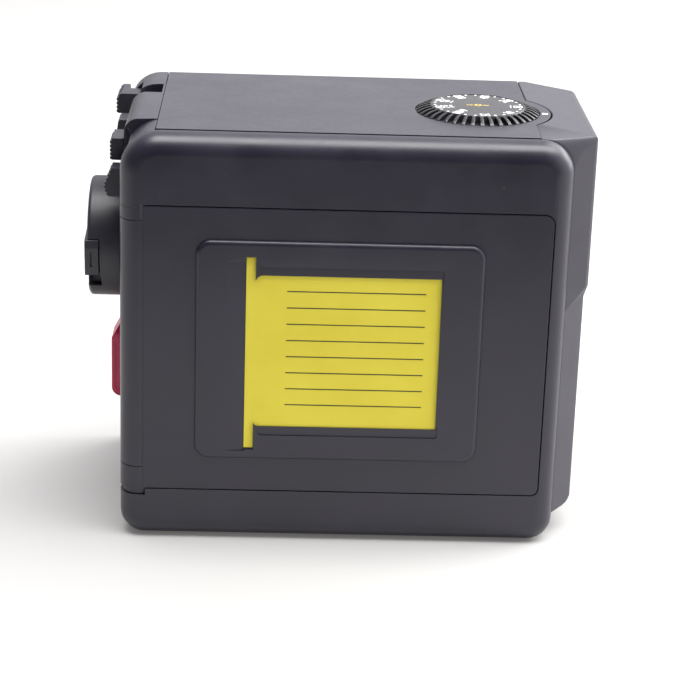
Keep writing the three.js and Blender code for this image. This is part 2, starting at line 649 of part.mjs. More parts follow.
const SPOOL_IDLER = upperMeeting(
  SPROCKET,
  SPOOL,
  pitchRadius(SPROCKET_TEETH + SPOOL_IDLER_TEETH),
  pitchRadius(SPOOL_TEETH + SPOOL_IDLER_TEETH),
);
const DRIVE_IDLER = upperMeeting(
  SPROCKET,
  DRIVE,
  pitchRadius(SPROCKET_TEETH + DRIVE_TEETH),
  pitchRadius(2 * DRIVE_TEETH),
);

// Where gear b's first tooth must point so that it meshes with gear a.
function meshPhase(a, teethA, phaseA, b, teethB) {
  const toB = Math.atan2(b.z - a.z, b.y - a.y);
  const pitchA = (2 * Math.PI) / teethA;
  const pitchB = (2 * Math.PI) / teethB;
  const share = (toB - phaseA) / pitchA;
  return toB + Math.PI - pitchB * (0.5 - share);
}

function gearBlank(teeth, phase, place, bore) {
  const root = pitchRadius(teeth) - MODULE * 1.15;
  const tip = pitchRadius(teeth) + MODULE * 0.8;
  const pitch = (2 * Math.PI) / teeth;
  const points = [];
  for (let i = 0; i < teeth; i += 1) {
    const middle = phase + i * pitch;
    for (const [share, radius] of [[-0.31, root], [-0.11, tip], [0.11, tip], [0.31, root]]) {
      const angle = middle + share * pitch;
      points.push([place.y + radius * Math.cos(angle), place.z + radius * Math.sin(angle)]);
    }
  }
  const wheel = slabX(polygon(points), GEAR_X.from, GEAR_X.to);
  return cut(wheel, rodX(bore, GEAR_X.from - 1, GEAR_X.to + 1, place.y, place.z, 20));
}

const SPOOL_IDLER_PHASE = meshPhase(SPROCKET, SPROCKET_TEETH, 0, SPOOL_IDLER, SPOOL_IDLER_TEETH);
const SPOOL_PHASE = meshPhase(SPOOL_IDLER, SPOOL_IDLER_TEETH, SPOOL_IDLER_PHASE, SPOOL, SPOOL_TEETH);
const DRIVE_IDLER_PHASE = meshPhase(SPROCKET, SPROCKET_TEETH, 0, DRIVE_IDLER, DRIVE_TEETH);
const DRIVE_PHASE = meshPhase(DRIVE_IDLER, DRIVE_TEETH, DRIVE_IDLER_PHASE, DRIVE, DRIVE_TEETH);
const STUD_R = 1.2;
const STUD_BORE = STUD_R + 0.07;

function gearPlate() {
  const outline = polygon([
    [12.4, 7], [43.6, 7], [43.6, 10.6], [52.6, 10.6], [52.6, 25.9], [43.6, 25.9], [43.6, 74], [12.4, 74],
  ]);
  const plate = slabX(outline, 31, 32.2);
  const studs = [SPOOL_IDLER, DRIVE_IDLER, DRIVE]
    .map(({ y, z }) => rodX(STUD_R, 31.5, GEAR_X.to + 0.5, y, z, 20));
  return cut(
    join(plate, ...studs),
    rodX(2, 30, 33, SPOOL.y, SPOOL.z, 20),
    rodX(2, 30, 33, SPROCKET.y, SPROCKET.z, 20),
    rodX(1.3, 30, 33, COUNTER.y, COUNTER.z, 20),
    rodX(7, 30, 33, CASSETTE.y + 1, CASSETTE.z - 14, 32),
  );
}

function counterShaft() {
  return rodX(STUD_R, 30.9, 46.4, COUNTER.y, COUNTER.z, 20);
}

function counterDisc() {
  return turnedX([
    [43.2, STUD_BORE], [43.2, 3], [45.0, 3], [45.0, COUNTER.r], [45.9, COUNTER.r], [45.9, STUD_BORE],
    [43.2, STUD_BORE],
  ], COUNTER.y, COUNTER.z, 40);
}

function counterWindow() {
  const c = COUNTER;
  return box(47.35, 48.95, c.y + 3.25, c.y + 8.15, c.z - 2.45, c.z + 2.45);
}

// ---------------------------------------------------------------- rewind

function rewindKnob() {
  const r = KNOB.r;
  const round = 0.8;
  const profile = [[KNOB.inner, 0], [KNOB.inner, r - 0.4], [KNOB.inner - 0.4, r]];
  for (let i = 0; i <= 5; i += 1) {
    const angle = (i / 5) * (Math.PI / 2);
    profile.push([KNOB.outer + round - round * Math.sin(angle), r - round + round * Math.cos(angle)]);
  }
  profile.push([KNOB.outer, 0]);
  const body = turnedX(profile.reverse(), 0, 0, 48);
  const floor = CRANK.inner + 0.2;
  const half = CRANK.width / 2 + 0.2;
  const gripSpace = slabX(roundedRect(-11.1, -3.5, -3.05, 3.05, evenRadii(3)), -50.2, -46.2);
  return cut(
    body,
    box(KNOB.outer - 1, floor, -r - 1, r + 1, -half, half),
    box(KNOB.outer - 1, floor + 0.25, -r - 1, -8.6, -6.7, -half + 0.1),
    gripSpace,
    rodZ(0.86, -8.2, 8.2, CRANK.pivotX, CRANK.pivotY, 16),
  );
}

function crankArm() {
  const half = CRANK.width / 2;
  const mid = (CRANK.outer + CRANK.inner) / 2;
  const reach = roundedRect(CRANK.tipY, CRANK.pivotY, -half, half, evenRadii(0.8));
  const bar = slabX(reach, CRANK.outer, CRANK.inner);
  const eye = rodZ(CRANK.inner - mid, -half, half, CRANK.pivotX, CRANK.pivotY, 24);
  const rimRound = rodX(KNOB.r, CRANK.outer - 1, CRANK.inner + 1, 0, 0, 64);
  const tip = box(CRANK.outer - 1, CRANK.inner + 1, -14, 0, -9, 9);
  const tail = box(CRANK.outer - 1, CRANK.inner + 1, -0.1, 12, -9, 9);
  const tipHalf = common(bar, common(rimRound, tip));
  const tailHalf = common(join(cut(bar, box(-60, -40, CRANK.pivotY, 20, -9, 9)), eye), tail);
  return cut(
    join(tipHalf, tailHalf),
    box(-51.7, -51.45, -13, -11.7, -1.8, 1.4),
    rodZ(0.86, -9, 9, CRANK.pivotX, CRANK.pivotY, 16),
    rodX(1.05, -51.9, CRANK.inner + 1, -6.6, 0, 16),
  );
}

function crankGrip() {
  const face = CRANK.inner + 0.15;
  return turnedX([
    [-51.8, 0], [-51.8, 0.95], [face, 0.95], [face, 2.4], [face + 0.3, 2.6],
    [-46.9, 2.6], [-46.6, 2.3], [-46.6, 0],
  ], -6.6, 0, 24);
}

function crankPin() {
  return rodZ(0.8, -8, 8, CRANK.pivotX, CRANK.pivotY, 16);
}

function rewindShaft() {
  return rodX(SHAFT_R, KNOB.inner + 0.05, -26.95, 0, 0, 24);
}

function rewindFork() {
  const hub = rodX(2.75, -26.9, -24.2, 0, 0, 24);
  const blade = box(-24.3, -20.8, -2.5, 2.5, -0.55, 0.55);
  return join(hub, cut(blade, box(-22.8, -20, -1.2, 1.2, -1, 1)));
}

function shaftBush() {
  return turnedX([
    [-45.2, SHAFT_R + 0.06], [-45.2, 4.45], [-42.95, 4.45], [-42.95, 5.6],
    [-41.6, 5.6], [-41.6, SHAFT_R + 0.06], [-45.2, SHAFT_R + 0.06],
  ], 0, 0, 24);
}

function rewindSleeve() {
  return turnedX([
    [-31, SHAFT_R + 0.06], [-31, 4.6], [-30, 4.6], [-30, 3.4], [-27.2, 3.4], [-27.2, SHAFT_R + 0.06],
    [-31, SHAFT_R + 0.06],
  ], 0, 0, 24);
}

// A round-wire coil spring along z from z0 to z1.
function coilSpring(radius, wire, turns, z0, z1) {
  class Coil extends THREE.Curve {
    getPoint(t, target = new THREE.Vector3()) {
      const angle = t * turns * 2 * Math.PI;
      return target.set(radius * Math.cos(angle), radius * Math.sin(angle), z0 + (z1 - z0) * t);
    }
  }
  const section = new THREE.Shape();
  section.absarc(0, 0, wire, 0, 2 * Math.PI, false);
  return new THREE.ExtrudeGeometry(section, {
    steps: turns * 9, curveSegments: 3, bevelEnabled: false, extrudePath: new Coil(),
  });
}

// ---------------------------------------------------------------- left-side levers

// Thumb teeth along a nearly upright outer edge, as (x, z) points from low to high.
function toothedEdge(count, low, high, outerAt, depth) {
  const points = [];
  const pitch = (high - low) / count;
  for (let i = 0; i < count; i += 1) {
    const z = low + i * pitch;
    points.push([outerAt(z) + depth, z]);
    points.push([outerAt(z + pitch * 0.35), z + pitch * 0.35]);
    points.push([outerAt(z + pitch * 0.65), z + pitch * 0.65]);
  }
  points.push([outerAt(high) + depth, high]);
  return points;
}

// The tab is deep at the back, where it reaches into the corner, and shallow beside the flange.
function magazineReleaseLever() {
  const { outer, inner, rear, step, front, low, high } = RELEASE;
  const outline = polygon([
    [inner, high], [inner, low],
    ...toothedEdge(4, low + 0.1, high - 0.9, () => outer, 0.45),
    [outer + 0.5, high - 0.3], [outer + 1.1, high],
  ]);
  const besideFlange = box(outer - 1, FLANGE_LEFT - 0.15, step - 0.2, front, low - 1, high + 1);
  const stem = box(inner - 0.1, -42.75, 48.2, step - 0.1, low + 0.1, low + 1.2);
  return join(slabY(outline, rear, step), common(slabY(outline, rear, front), besideFlange), stem);
}

function releaseHook() {
  const outline = polygon([
    [49.2, 66.5], [50.6, 66.5], [50.6, 69.2], [54.6, 69.2], [55.1, 68.4], [55.1, 71.2],
    [53.6, 72.4], [53.6, 79.2], [49.2, 79.2],
  ]);
  return slabX(outline, -42.65, -41.1);
}

function latchLockLever() {
  const outline = [
    [TAB_FOOT, 80.45], [TAB_FOOT, 75.95],
    ...toothedEdge(5, 76.0, 80.0, () => -47.85, 0.4),
    [-47.4, 80.45],
  ];
  const tab = slabY(polygon(outline), 14.5, 22);
  return join(tab, box(TAB_FOOT - 0.1, -40.6, 16.3, 18.7, 77.0, 79.3));
}

function doorLatchLever() {
  const bulge = (z) => -47.35 - 1.3 * Math.exp(-(((z - 72.0) / 2.3) ** 2));
  const outline = [
    [TAB_FOOT, 75.8], [TAB_FOOT, 69.9],
    ...toothedEdge(7, 69.95, 75.4, bulge, 0.35),
    [-47.2, 75.8],
  ];
  const tab = slabY(polygon(outline), 9.0, 13.5);
  return join(tab, box(TAB_FOOT - 0.1, -42.9, 10, 12.5, 72.8, 76.1));
}

function latchBar() {
  const bar = box(-41.6, 35.2, 9.6, 10.8, 76.4, 80.2);
  const tongue = box(-42.6, -40.6, 9.6, 12.4, 73.0, 77.8);
  const leg = box(31.6, 35.1, 9.6, 10.8, 63.4, 77);
  const toe = box(31.6, 35.1, 6.5, 10.8, 63.4, 64.5);
  const tooth = box(31.6, 35.1, 6.5, 7.7, 63.4, 65.4);
  return join(bar, tongue, leg, toe, tooth);
}

function rewindReleaseLever() {
  const shape = new THREE.Shape();
  shape.moveTo(TAB_FOOT, 23.3);
  shape.lineTo(-46.1, 23.3);
  shape.absarc(-46.1, 25.3, 2.0, -Math.PI / 2, -Math.PI, true);
  shape.lineTo(-48.1, 35.8);
  shape.absarc(-47.1, 35.9, 1.0, Math.PI, Math.PI * 0.82, true);
  shape.lineTo(-45.6, 41.0);
  shape.lineTo(TAB_FOOT, 41.0);
  const tab = slabY(shape, 20, 27);
  const groove = slabY(roundedRect(-49, -47.55, 26.4, 34.6, evenRadii(0.4)), 22.2, 24.8);
  const insetShape = roundedRect(-47.45, TAB_FOOT + 1, 24.3, 35.6, { lowLeft: 1.4, topLeft: 0.8 });
  const inset = slabY(insetShape, 19, 20.3);
  return join(cut(tab, groove, inset), box(TAB_FOOT - 0.1, -42, 22, 25, 27, 31));
}

function releaseLink() {
  return join(box(-41.9, -40.7, 22, 25, 27, 31), box(-41.5, -27, 22.8, 24.2, 28.2, 29.8));
}

function leverGuard() {
  const outline = polygon([
    [TAB_FOOT, 76.1], [-47.4, 76.1], [-47.95, 76.7], [-47.6, 79.2], [-47.2, 79.55], [TAB_FOOT, 79.55],
  ]);
  return slabY(outline, 33.6, 39.6);
}

// ---------------------------------------------------------------- dial

function filmSpeedDial() {
  const z0 = DIAL.z;
  const z1 = DIAL.z + DIAL.height;
  const profile = [
    [0, z0], [DIAL.base, z0], [DIAL.base, z0 + 0.35], [DIAL.top, z1 - 0.12], [DIAL.top - 0.15, z1], [0, z1],
  ];
  const outline = profile.map(([r, z]) => new THREE.Vector2(r, z));
  const cone = new THREE.LatheGeometry(outline, 80).rotateX(Math.PI / 2);
  const notches = [];
  for (let i = 0; i < DIAL.ridges; i += 1) {
    const angle = ((i + 0.5) * 2 * Math.PI) / DIAL.ridges;
    const notch = box(DIAL.top + 0.25, DIAL.base + 1, -0.5, 0.5, z0 + 0.5, z1 + 1);
    const slope = Math.atan2(DIAL.height - 0.47, DIAL.base - DIAL.top);
    notch.translate(-DIAL.base, 0, -(z0 + 0.35)).rotateY(slope).translate(DIAL.base, 0, z0 + 0.35);
    notches.push(notch.translate(0, 0, -0.42).rotateZ(angle));
  }
  return cut(cone, ...notches).translate(DIAL.x, DIAL.y, 0);
}

function dialShaft() {
  return rodZ(2.2, 78.0, DIAL.z - 0.02, DIAL.x, DIAL.y, 24);
}

function dialWiper() {
  const disc = rodZ(6, 77.3, 77.9, DIAL.x, DIAL.y, 32);
  const finger = box(DIAL.x + 4, DIAL.x + 8.6, DIAL.y - 0.8, DIAL.y + 0.8, 77.3, 77.9);
  return join(disc, finger);
}

function speedBoard() {
  const board = box(DIAL.x - 11, DIAL.x + 3.6, DIAL.y - 10.5, DIAL.y + 10.5, 75.2, 76.2);
  const holes = [-8.5, 8.5].map((y) => rodZ(1.2, 74, 78, DIAL.x - 9, DIAL.y + y, 16));
  return cut(board, ...holes);
}

function contactBlock() {
  const block = box(-11, 11, 52.2, FRONT - 0.15, 72.8, 79);
  const pads = [-7.5, -2.5, 2.5, 7.5].map((x) => box(x - 1.6, x + 1.6, FRONT - 0.7, FRONT, 74.2, 77.6));
  return cut(block, ...pads);
}

// ---------------------------------------------------------------- assembly

const magazine = new THREE.Group();
const m = materials;

addPiece(magazine, 'rear_shell', rearShell(), m.body);
addPiece(magazine, 'body_casing', bodyCasing(), m.body);
addPiece(magazine, 'top_cover', topCover(), m.body);
addPiece(magazine, 'right_housing', rightHousing(), m.body);
addPiece(magazine, 'front_frame', frontFrame(), m.body);
addPiece(magazine, 'back_plate', backPlate(), m.inner);
addPiece(magazine, 'door_seal_top', doorSeal(68.2), m.foam);
addPiece(magazine, 'door_seal_bottom', doorSeal(11.8), m.foam);
addPiece(magazine, 'dark_slide_seal', box(-34, -29, 44.85, 45.35, 22.3, 62.7), m.foam);
screwSpots().forEach(([x, z], i) => addPiece(magazine, `front_screw_${i + 1}`, frontScrew(x, z), m.steel));

addPiece(magazine, 'hinge_pin', rodZ(PIN.r, DOOR.low + 0.7, KNUCKLE.high + 1.8, PIN.x, PIN.y, 20), m.steel);
addPiece(magazine, 'door_panel', doorPanel(), m.body);
addPiece(magazine, 'door_leaf', doorLeaf(), m.body);
addPiece(magazine, 'memo_plate', memoPlate(), m.body);
const memoCard = box(CARD.left, CARD.right, CARD.rear, CARD.front, CARD.low, CARD.high);
addPiece(magazine, 'memo_card', memoCard, m.card);
addPiece(magazine, 'cassette_leaf', bowedStrip(LEAF.front + 0.05, 4.0, 49, 65.5, 0.4, -9, 9), m.steel);

addPiece(magazine, 'film_chamber', filmChamber(), m.inner);
addPiece(magazine, 'gate_plate', gatePlate(), m.alloy);
addPiece(magazine, 'pressure_plate', pressurePlate(), m.inner);
addPiece(magazine, 'pressure_spring', bowedStrip(36.6, 1.75, 29.4, 42.6, 0.3, -8, 8), m.steel);
addPiece(magazine, 'top_roller', topRoller(), m.steel);
addPiece(magazine, 'sprocket_roller', sprocketRoller(), m.inner);
addPiece(magazine, 'sprocket_shaft', filmShaft(SPROCKET), m.steel);
addPiece(magazine, 'take_up_spool', takeUpSpool(), m.inner);
addPiece(magazine, 'spool_shaft', filmShaft(SPOOL), m.steel);

addPiece(magazine, 'gear_plate', gearPlate(), m.alloy);
addPiece(magazine, 'sprocket_gear', gearBlank(SPROCKET_TEETH, 0, SPROCKET, 1.66), m.gear);
const spoolIdler = gearBlank(SPOOL_IDLER_TEETH, SPOOL_IDLER_PHASE, SPOOL_IDLER, STUD_BORE);
addPiece(magazine, 'spool_idler', spoolIdler, m.gear);
addPiece(magazine, 'spool_gear', gearBlank(SPOOL_TEETH, SPOOL_PHASE, SPOOL, 1.66), m.brass);
addPiece(magazine, 'drive_idler', gearBlank(DRIVE_TEETH, DRIVE_IDLER_PHASE, DRIVE_IDLER, STUD_BORE), m.gear);
addPiece(magazine, 'drive_gear', gearBlank(DRIVE_TEETH, DRIVE_PHASE, DRIVE, STUD_BORE), m.brass);
addPiece(magazine, 'counter_shaft', counterShaft(), m.steel);
addPiece(magazine, 'counter_disc', counterDisc(), m.lever);
addPiece(magazine, 'counter_window', counterWindow(), m.glass);

const rewind = new THREE.Group();
rewind.position.set(0, KNOB.y, KNOB.z);
rewind.rotation.x = KNOB.turn;
addPiece(rewind, 'rewind_knob', rewindKnob(), m.lever);
addPiece(rewind, 'crank_arm', crankArm(), m.lever);
addPiece(rewind, 'crank_grip', crankGrip(), m.lever);
addPiece(rewind, 'crank_pin', crankPin(), m.steel);
addPiece(rewind, 'rewind_shaft', rewindShaft(), m.steel);
addPiece(rewind, 'rewind_fork', rewindFork(), m.steel);
addPiece(rewind, 'shaft_bush', shaftBush(), m.brass);
addPiece(rewind, 'rewind_sleeve', rewindSleeve(), m.brass);
const rewindSpring = addPiece(rewind, 'rewind_spring', coilSpring(3.3, 0.35, 5, -41.1, -31.45), m.steel);
rewindSpring.rotation.y = Math.PI / 2;
magazine.add(rewind);

addPiece(magazine, 'rewind_release_lever', rewindReleaseLever(), m.red);
addPiece(magazine, 'release_link', releaseLink(), m.steel);
addPiece(magazine, 'magazine_release_lever', magazineReleaseLever(), m.lever);
addPiece(magazine, 'release_hook', releaseHook(), m.steel);
const releaseSpring = addPiece(magazine, 'release_spring', coilSpring(1.0, 0.2, 5, 0, 5.6), m.steel);
releaseSpring.position.set(-40.9, 50.2, 60.3);
addPiece(magazine, 'latch_lock_lever', latchLockLever(), m.lever);
addPiece(magazine, 'door_latch_lever', doorLatchLever(), m.lever);
addPiece(magazine, 'latch_bar', latchBar(), m.steel);
addPiece(magazine, 'lever_guard', leverGuard(), m.lever);

addPiece(magazine, 'film_speed_dial', filmSpeedDial(), m.lever);
addPiece(magazine, 'dial_shaft', dialShaft(), m.steel);
addPiece(magazine, 'dial_wiper', dialWiper(), m.brass);
addPiece(magazine, 'speed_board', speedBoard(), m.board);
addPiece(magazine, 'contact_block', contactBlock(), m.lever);

// The middle of the overall width and depth comes to the origin; the base is at z = 0.
const MIDDLE = { x: (CRANK.outer + HOUSING.upper) / 2, y: (MEMO.rear + FRONT) / 2 };
magazine.position.set(-MIDDLE.x, -MIDDLE.y, 0);

export default magazine;
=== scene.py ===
"""Looks for an interchangeable 35 mm film magazine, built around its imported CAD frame.

Metres, in the CAD frame: +X to the right seen from the back door, +Y forward to the camera
body, +Z up, the floor at z = 0. Every place on the magazine comes from a CAD node's mesh or box.
"""

import json
import math

import bmesh
import bpy
from mathutils import Matrix, Vector


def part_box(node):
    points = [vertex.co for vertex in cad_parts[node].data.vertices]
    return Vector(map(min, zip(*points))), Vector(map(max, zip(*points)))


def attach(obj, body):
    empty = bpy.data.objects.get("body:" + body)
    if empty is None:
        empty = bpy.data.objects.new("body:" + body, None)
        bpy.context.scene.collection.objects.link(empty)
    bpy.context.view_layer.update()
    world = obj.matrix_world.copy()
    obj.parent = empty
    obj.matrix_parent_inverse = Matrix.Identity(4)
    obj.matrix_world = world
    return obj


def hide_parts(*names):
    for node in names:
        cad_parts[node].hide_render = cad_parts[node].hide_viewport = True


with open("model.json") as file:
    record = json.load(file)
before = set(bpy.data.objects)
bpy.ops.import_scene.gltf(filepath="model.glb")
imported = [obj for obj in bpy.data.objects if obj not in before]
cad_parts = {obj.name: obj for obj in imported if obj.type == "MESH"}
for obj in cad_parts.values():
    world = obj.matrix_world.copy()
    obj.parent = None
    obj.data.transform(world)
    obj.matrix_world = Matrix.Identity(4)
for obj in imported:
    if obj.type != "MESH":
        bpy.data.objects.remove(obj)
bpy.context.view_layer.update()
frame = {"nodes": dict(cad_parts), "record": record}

MM = 0.001
NODES = frame["nodes"]
BODY_OF = {n: body for body, members in frame["record"]["behaviour"]["bodies"].items() for n in members}
SLOT_OF = {row["node"]: row["material_slot"] for row in frame["record"]["subparts"]}


# ---------------------------------------------------------------- materials

def linear(red, green, blue):
    """An sRGB colour, 0 to 255, as a linear RGBA colour."""
    channel = lambda c: c / 12.92 if c <= 0.04045 else ((c + 0.055) / 1.055) ** 2.4
    return (channel(red / 255), channel(green / 255), channel(blue / 255), 1.0)


class Painter:
    """Short ways to add and join the nodes of one material."""

    def __init__(self, name):
        self.material = bpy.data.materials.new(name)
        self.material.use_nodes = True
        self.nodes = self.material.node_tree.nodes
        self.links = self.material.node_tree.links
        self.shader = self.nodes["Principled BSDF"]
        self.place = self.nodes.new("ShaderNodeTexCoord").outputs["Object"]

    def set(self, **values):
        for key, value in values.items():
            self.shader.inputs[key.replace("_", " ")].default_value = value

    def noise(self, size, detail=3.0, squeeze=(1, 1, 1)):
        """Noise whose features are about size metres across, and squeezed along an axis if asked."""
        mapping = self.nodes.new("ShaderNodeMapping")
        mapping.inputs["Scale"].default_value = squeeze
        texture = self.nodes.new("ShaderNodeTexNoise")
        texture.inputs["Scale"].default_value = 1 / size
        texture.inputs["Detail"].default_value = detail
        self.links.new(self.place, mapping.inputs["Vector"])
        self.links.new(mapping.outputs["Vector"], texture.inputs["Vector"])
        return texture.outputs["Fac"]

    def cells(self, size):
        """Scattered cells about size metres across, with the distance to each cell's point."""
        texture = self.nodes.new("ShaderNodeTexVoronoi")
        texture.inputs["Scale"].default_value = 1 / size
        self.links.new(self.place, texture.inputs["Vector"])
        return texture

    def remap(self, value, low, high, to_low, to_high):
        """Carries the range low to high over to another range, and holds it at the ends."""
        node = self.nodes.new("ShaderNodeMapRange")
        node.inputs["From Min"].default_value = low
        node.inputs["From Max"].default_value = high
        node.inputs["To Min"].default_value = to_low
        node.inputs["To Max"].default_value = to_high
        self.links.new(value, node.inputs["Value"])
        return node.outputs["Result"]

    def math(self, operation, first, second):
        """One sum. Either side is a number or a socket."""
        node = self.nodes.new("ShaderNodeMath")
        node.operation = operation
        for socket, value in zip(node.inputs, (first, second)):
            if isinstance(value, (int, float)):
                socket.default_value = value
            else:
                self.links.new(value, socket)
        return node.outputs["Value"]

    def blend(self, amount, first, second):
        """A mix of two colours. Each is a tuple or a socket."""
        node = self.nodes.new("ShaderNodeMix")
        node.data_type = "RGBA"
        for name, value in (("A", first), ("B", second)):
            socket = next(s for s in node.inputs if s.name == name and s.type == "RGBA")
            if isinstance(value, tuple):
                socket.default_value = value
            else:
                self.links.new(value, socket)
        self.links.new(amount, node.inputs[0])
        return next(s for s in node.outputs if s.type == "RGBA")

    def bump(self, *layers):
        """Layers of (height, depth in metres), added one over the other."""
        normal = None
        for height, depth in layers:
            node = self.nodes.new("ShaderNodeBump")
            node.inputs["Distance"].default_value = depth
            node.inputs["Strength"].default_value = 1.0
            self.links.new(height, node.inputs["Height"])
            if normal is not None:
                self.links.new(normal, node.inputs["Normal"])
            normal = node.outputs["Normal"]
        self.links.new(normal, self.shader.inputs["Normal"])

    def colour(self, socket):
        self.links.new(socket, self.shader.inputs["Base Color"])

    def roughness(self, socket):
        self.links.new(socket, self.shader.inputs["Roughness"])


SPECK_CELL = 5.5 * MM
SPECK_RADIUS = 0.026  # as a share of a cell
SPECK_CORE = 0.6 * SPECK_RADIUS
SPECK_SHARE = 0.3  # how many of the cells hold a speck
LINT = linear(190, 188, 184)
GRAIN = 0.28 * MM
GRAIN_DEPTH = 0.012 * MM
WAVE = 9 * MM
WAVE_DEPTH = 0.02 * MM


def dust(paint):
    """A mask of small round specks: one in some of the cells."""
    texture = paint.cells(SPECK_CELL)
    near = paint.remap(texture.outputs["Distance"], SPECK_CORE, SPECK_RADIUS, 1, 0)
    pick = paint.nodes.new("ShaderNodeSeparateColor")
    paint.links.new(texture.outputs["Color"], pick.inputs["Color"])
    chosen = paint.math("GREATER_THAN", pick.outputs["Red"], 1 - SPECK_SHARE)
    return paint.math("MULTIPLY", near, chosen)


def moulded_plastic(name, tone, lighter, roughness, dusty=0.5):
    """Satin moulded plastic: fine spark grain, faint handling marks, a few specks of dust."""
    paint = Painter(name)
    smudge = paint.noise(14 * MM, detail=4)
    mottle = paint.noise(0.9 * MM, detail=2)
    tint = paint.blend(paint.remap(smudge, 0.35, 0.7, 0, 1), tone, lighter)
    fine = paint.blend(paint.remap(mottle, 0.3, 0.8, 0, 0.22), tint, lighter)
    paint.colour(paint.blend(paint.math("MULTIPLY", dust(paint), dusty), fine, LINT))
    worn = paint.math("ADD", paint.remap(smudge, 0.3, 0.75, roughness - 0.05, roughness + 0.06),
                      paint.remap(mottle, 0.2, 0.8, -0.03, 0.03))
    paint.roughness(worn)
    paint.bump((paint.noise(GRAIN, detail=2), GRAIN_DEPTH), (paint.noise(WAVE, detail=1), WAVE_DEPTH))
    paint.set(IOR=1.5, Specular_IOR_Level=0.6)
    return paint.material


def paper_card():
    """Yellow card: short fibres, a slight warm unevenness."""
    paint = Painter("yellow_card")
    base = linear(240, 225, 66)
    deep = linear(230, 210, 46)
    cloud = paint.noise(11 * MM, detail=3)
    fibre = paint.noise(0.35 * MM, detail=4, squeeze=(1, 1, 3))
    tint = paint.blend(paint.remap(cloud, 0.3, 0.7, 0, 0.6), base, deep)
    paint.colour(paint.blend(paint.remap(fibre, 0.35, 0.75, 0, 0.3), tint, linear(236, 224, 110)))
    paint.roughness(paint.remap(fibre, 0.3, 0.7, 0.55, 0.75))
    paint.bump((fibre, 0.012 * MM))
    return paint.material


def turned_metal(name, tone, darker, roughness, squeeze=(1, 1, 1)):
    """Machined metal: fine tool lines across the squeezed axis, small stains and handling marks."""
    paint = Painter(name)
    lines = paint.noise(0.16 * MM, detail=3, squeeze=squeeze)
    stain = paint.noise(5 * MM, detail=5)
    paint.colour(paint.blend(paint.remap(stain, 0.4, 0.75, 0, 0.8), tone, darker))
    paint.roughness(paint.math("ADD", paint.remap(lines, 0.3, 0.7, roughness - 0.06, roughness + 0.08),
                               paint.remap(stain, 0.4, 0.8, 0, 0.14)))
    paint.bump((lines, 0.006 * MM))
    paint.set(Metallic=1.0)
    return paint.material


def felt():
    """Black light-trap felt, a dense soft pile."""
    paint = Painter("trap_felt")
    pile = paint.noise(0.18 * MM, detail=4)
    paint.colour(paint.blend(pile, linear(16, 16, 17), linear(44, 44, 46)))
    paint.bump((pile, 0.08 * MM))
    paint.set(Roughness=0.95, Sheen_Weight=0.4)
    return paint.material


def clear_window():
    """A clear moulded window with faint hairline scratches."""
    paint = Painter("clear_window")
    hair = paint.noise(0.3 * MM, detail=2, squeeze=(1, 9, 1))
    paint.roughness(paint.remap(hair, 0.3, 0.8, 0.03, 0.14))
    paint.bump((hair, 0.002 * MM))
    paint.set(Base_Color=(0.93, 0.96, 0.97, 1), Transmission_Weight=1.0, IOR=1.49)
    return paint.material


def circuit_board():
    """Green lacquered board with a faint weave under the lacquer."""
    paint = Painter("green_board")
    weave = paint.noise(0.3 * MM, detail=2, squeeze=(6, 1, 1))
    paint.colour(paint.blend(paint.remap(weave, 0.3, 0.7, 0, 1), linear(34, 70, 40), linear(58, 98, 56)))
    paint.roughness(paint.remap(weave, 0.3, 0.7, 0.25, 0.4))
    paint.bump((weave, 0.01 * MM))
    return paint.material


def printed(name, tone, roughness=0.5):
    """Screen-printed ink, slightly uneven."""
    paint = Painter(name)
    ink = paint.noise(0.25 * MM, detail=3)
    thin = tuple(c * 0.8 for c in tone[:3]) + (1.0,)
    paint.colour(paint.blend(paint.remap(ink, 0.3, 0.8, 0, 0.5), tone, thin))
    paint.roughness(paint.remap(ink, 0.3, 0.7, roughness - 0.08, roughness + 0.08))
    paint.bump((ink, 0.004 * MM))
    return paint.material


# One material for each slot of the record. The right housing and the dial get one of their own.
MATERIALS = {
    "body_plastic": moulded_plastic("satin_black_plastic", linear(32, 30, 43), linear(42, 40, 54), 0.36),
    "housing": moulded_plastic("housing_plastic", linear(56, 54, 63), linear(68, 66, 76), 0.4),
    "inner_plastic": moulded_plastic("matt_inner_plastic", linear(22, 22, 24), linear(32, 32, 34), 0.62, 0.1),
    "lever_plastic": moulded_plastic("lever_plastic", linear(34, 32, 42), linear(46, 44, 55), 0.46),
    "red_plastic": moulded_plastic("red_plastic", linear(216, 20, 76), linear(228, 38, 96), 0.34, 0.1),
    "card": paper_card(),
    "steel": turned_metal("bright_steel", linear(196, 196, 200), linear(150, 148, 150), 0.28, (1, 1, 8)),
    "alloy": turned_metal("matt_alloy", linear(150, 150, 154), linear(120, 120, 126), 0.42, (8, 1, 1)),
    "brass": turned_metal("turned_brass", linear(205, 168, 98), linear(160, 120, 70), 0.3, (8, 1, 1)),
    "gear_plastic": moulded_plastic("acetal", linear(222, 219, 208), linear(236, 233, 224), 0.4, 0.0),
    "foam": felt(),
    "window": clear_window(),
    "circuit_board": circuit_board(),
    "dial": moulded_plastic("dial_plastic", linear(25, 24, 30), linear(35, 34, 40), 0.3, 0.2),
}
PRINT_WHITE = printed("white_print", linear(236, 236, 234))
PRINT_YELLOW = printed("yellow_print", linear(222, 190, 84))
PRINT_BROWN = printed("brown_print", linear(70, 60, 34), 0.6)


# ---------------------------------------------------------------- pieces

def add_piece(name, mesh, body, material, replaced=()):
    """A visible piece that rides on a body and stands in for the CAD nodes it replaces."""
    piece = bpy.data.objects.new(name, mesh)
    bpy.context.scene.collection.objects.link(piece)
    mesh.materials.clear()
    mesh.materials.append(material)
    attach(piece, body)
    if replaced:
        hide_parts(*replaced)
    return piece


